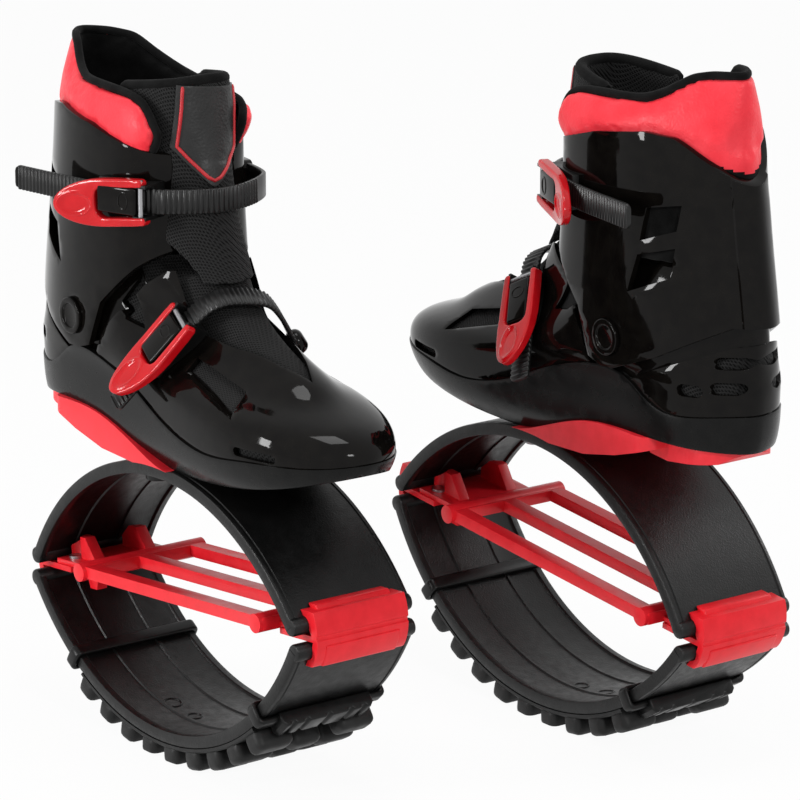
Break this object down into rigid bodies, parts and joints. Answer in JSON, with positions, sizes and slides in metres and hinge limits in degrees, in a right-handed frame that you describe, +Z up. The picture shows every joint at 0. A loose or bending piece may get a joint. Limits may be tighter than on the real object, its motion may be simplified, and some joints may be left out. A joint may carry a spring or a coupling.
{
  "type": "rebound shoes",
  "caption": "Pair of hard-shell rebound boots, each on an oval spring loop of two curved arches with elastic bars across it, a rocking cuff and ratchet buckles.",
  "frame": {"origin": "on the ground, under the flat of the right shoe's tread", "axes": "+X towards the right shoe's toe, -Y towards both shoes' buckle sides, +Z up; the left shoe points along -X"},
  "size_m": [0.3894, 0.3407, 0.4124],
  "materials": {
    "black_nylon": "satin black moulded nylon with a fine leather grain",
    "tread_rubber": "black rubber",
    "bolt_steel": "plated steel",
    "red_plastic": "satin red moulded plastic",
    "red_elastic": "satin red elastic polyurethane",
    "black_gloss": "polished black plastic",
    "liner_fabric": "black mesh and plush lining",
    "red_leather": "red imitation leather over foam, black lining",
    "black_matte": "satin black plastic",
    "red_gloss": "glossy red plastic",
    "strap_plastic": "flexible black ratchet strap"
  },
  "bodies": {
    "right_ground": {"right_lower_arch": "black_nylon", "right_tread": "tread_rubber", "right_tread_bands": "tread_rubber"},
    "right_clamps": {"right_toe_clamp": "red_plastic", "right_heel_clamp": "red_plastic", "right_spring_bars": "red_elastic", "right_clamp_screws": "bolt_steel"},
    "right_boot": {"right_upper_arch": "black_nylon", "right_mounting_bolts": "bolt_steel", "right_wedge_plate": "red_plastic", "right_sole_base": "black_gloss", "right_shell": "black_gloss", "right_footbed": "liner_fabric", "right_liner_foot": "liner_fabric", "right_cuff_rivets": "black_gloss", "right_instep_buckle_base": "black_matte", "right_instep_buckle_pin": "bolt_steel", "right_instep_strap": "strap_plastic", "right_instep_strap_anchor": "black_matte"},
    "right_cuff_body": {"right_cuff": "black_gloss", "right_liner_collar": "red_leather", "right_tongue": "liner_fabric", "right_cuff_buckle_base": "black_matte", "right_cuff_buckle_pin": "bolt_steel", "right_cuff_strap": "strap_plastic", "right_cuff_strap_anchor": "black_matte"},
    "right_cuff_lever_body": {"right_cuff_buckle_lever": "red_gloss"},
    "right_cuff_button_body": {"right_cuff_buckle_button": "black_matte"},
    "right_instep_lever_body": {"right_instep_buckle_lever": "red_gloss"},
    "right_instep_button_body": {"right_instep_buckle_button": "black_matte"},
    "left_ground": {"left_lower_arch": "black_nylon", "left_tread": "tread_rubber", "left_tread_bands": "tread_rubber"},
    "left_clamps": {"left_toe_clamp": "red_plastic", "left_heel_clamp": "red_plastic", "left_spring_bars": "red_elastic", "left_clamp_screws": "bolt_steel"},
    "left_boot": {"left_upper_arch": "black_nylon", "left_mounting_bolts": "bolt_steel", "left_wedge_plate": "red_plastic", "left_sole_base": "black_gloss", "left_shell": "black_gloss", "left_footbed": "liner_fabric", "left_liner_foot": "liner_fabric", "left_cuff_rivets": "black_gloss", "left_instep_buckle_base": "black_matte", "left_instep_buckle_pin": "bolt_steel", "left_instep_strap": "strap_plastic", "left_instep_strap_anchor": "black_matte"},
    "left_cuff_body": {"left_cuff": "black_gloss", "left_liner_collar": "red_leather", "left_tongue": "liner_fabric", "left_cuff_buckle_base": "black_matte", "left_cuff_buckle_pin": "bolt_steel", "left_cuff_strap": "strap_plastic", "left_cuff_strap_anchor": "black_matte"},
    "left_cuff_lever_body": {"left_cuff_buckle_lever": "red_gloss"},
    "left_cuff_button_body": {"left_cuff_buckle_button": "black_matte"},
    "left_instep_lever_body": {"left_instep_buckle_lever": "red_gloss"},
    "left_instep_button_body": {"left_instep_buckle_button": "black_matte"}
  },
  "joints": [
    {"name": "right_lower_arch_spring", "type": "slide", "parent": "right_ground", "child": "right_clamps", "axis": [0, 0, -1], "range_m": [0, 0.02], "stiffness_N_per_m": 60000, "springref_m": -0.0006, "deforming": ["right_lower_arch"]},
    {"name": "right_upper_arch_spring", "type": "slide", "parent": "right_clamps", "child": "right_boot", "axis": [0, 0, -1], "range_m": [0, 0.02], "deforming": ["right_upper_arch"]},
    {"name": "right_cuff_lean", "type": "hinge", "parent": "right_boot", "child": "right_cuff_body", "pos_m": [-0.0737, 0, 0.2494], "axis": [0, 1, 0], "range_deg": [-3, 6], "stiffness_Nm_per_rad": 40},
    {"name": "right_cuff_lever_turn", "type": "hinge", "parent": "right_cuff_body", "child": "right_cuff_lever_body", "pos_m": [-0.00833, -0.04183, 0.3235], "axis": [0, 0, 1], "range_deg": [0, 100]},
    {"name": "right_cuff_button_press", "type": "slide", "parent": "right_cuff_lever_body", "child": "right_cuff_button_body", "axis": [-0.342, 0.9397, 0], "range_m": [0, 0.0008], "stiffness_N_per_m": 600, "springref_m": -0.001},
    {"name": "right_instep_lever_turn", "type": "hinge", "parent": "right_boot", "child": "right_instep_lever_body", "pos_m": [0.01887, -0.03447, 0.26355], "axis": [-0.8847, 0.1933, 0.4242], "range_deg": [0, 100]},
    {"name": "right_instep_button_press", "type": "slide", "parent": "right_instep_lever_body", "child": "right_instep_button_body", "axis": [-0.0472, 0.8682, -0.494], "range_m": [0, 0.0008], "stiffness_N_per_m": 600, "springref_m": -0.001},
    {"name": "left_shoe_lift", "type": "slide", "parent": "right_ground", "child": "left_ground", "axis": [0, 0, 1], "range_m": [0, 0.3]},
    {"name": "left_lower_arch_spring", "type": "slide", "parent": "left_ground", "child": "left_clamps", "axis": [0, 0, -1], "range_m": [0, 0.02], "stiffness_N_per_m": 60000, "springref_m": -0.0006, "deforming": ["left_lower_arch"]},
    {"name": "left_upper_arch_spring", "type": "slide", "parent": "left_clamps", "child": "left_boot", "axis": [0, 0, -1], "range_m": [0, 0.02], "deforming": ["left_upper_arch"]},
    {"name": "left_cuff_lean", "type": "hinge", "parent": "left_boot", "child": "left_cuff_body", "pos_m": [0.1477, 0.214, 0.2494], "axis": [0, -1, 0], "range_deg": [-3, 6], "stiffness_Nm_per_rad": 40},
    {"name": "left_cuff_lever_turn", "type": "hinge", "parent": "left_cuff_body", "child": "left_cuff_lever_body", "pos_m": [0.08233, 0.17217, 0.3235], "axis": [0, 0, -1], "range_deg": [0, 100]},
    {"name": "left_cuff_button_press", "type": "slide", "parent": "left_cuff_lever_body", "child": "left_cuff_button_body", "axis": [0.342, 0.9397, 0], "range_m": [0, 0.0008], "stiffness_N_per_m": 600, "springref_m": -0.001},
    {"name": "left_instep_lever_turn", "type": "hinge", "parent": "left_boot", "child": "left_instep_lever_body", "pos_m": [0.05513, 0.17953, 0.26355], "axis": [-0.8847, -0.1933, -0.4242], "range_deg": [0, 100]},
    {"name": "left_instep_button_press", "type": "slide", "parent": "left_instep_lever_body", "child": "left_instep_button_body", "axis": [0.0472, 0.8682, -0.494], "range_m": [0, 0.0008], "stiffness_N_per_m": 600, "springref_m": -0.001}
  ],
  "couplings": [
    {"joint": "right_upper_arch_spring", "follows": "right_lower_arch_spring", "ratio": 1},
    {"joint": "left_upper_arch_spring", "follows": "left_lower_arch_spring", "ratio": 1}
  ]
}
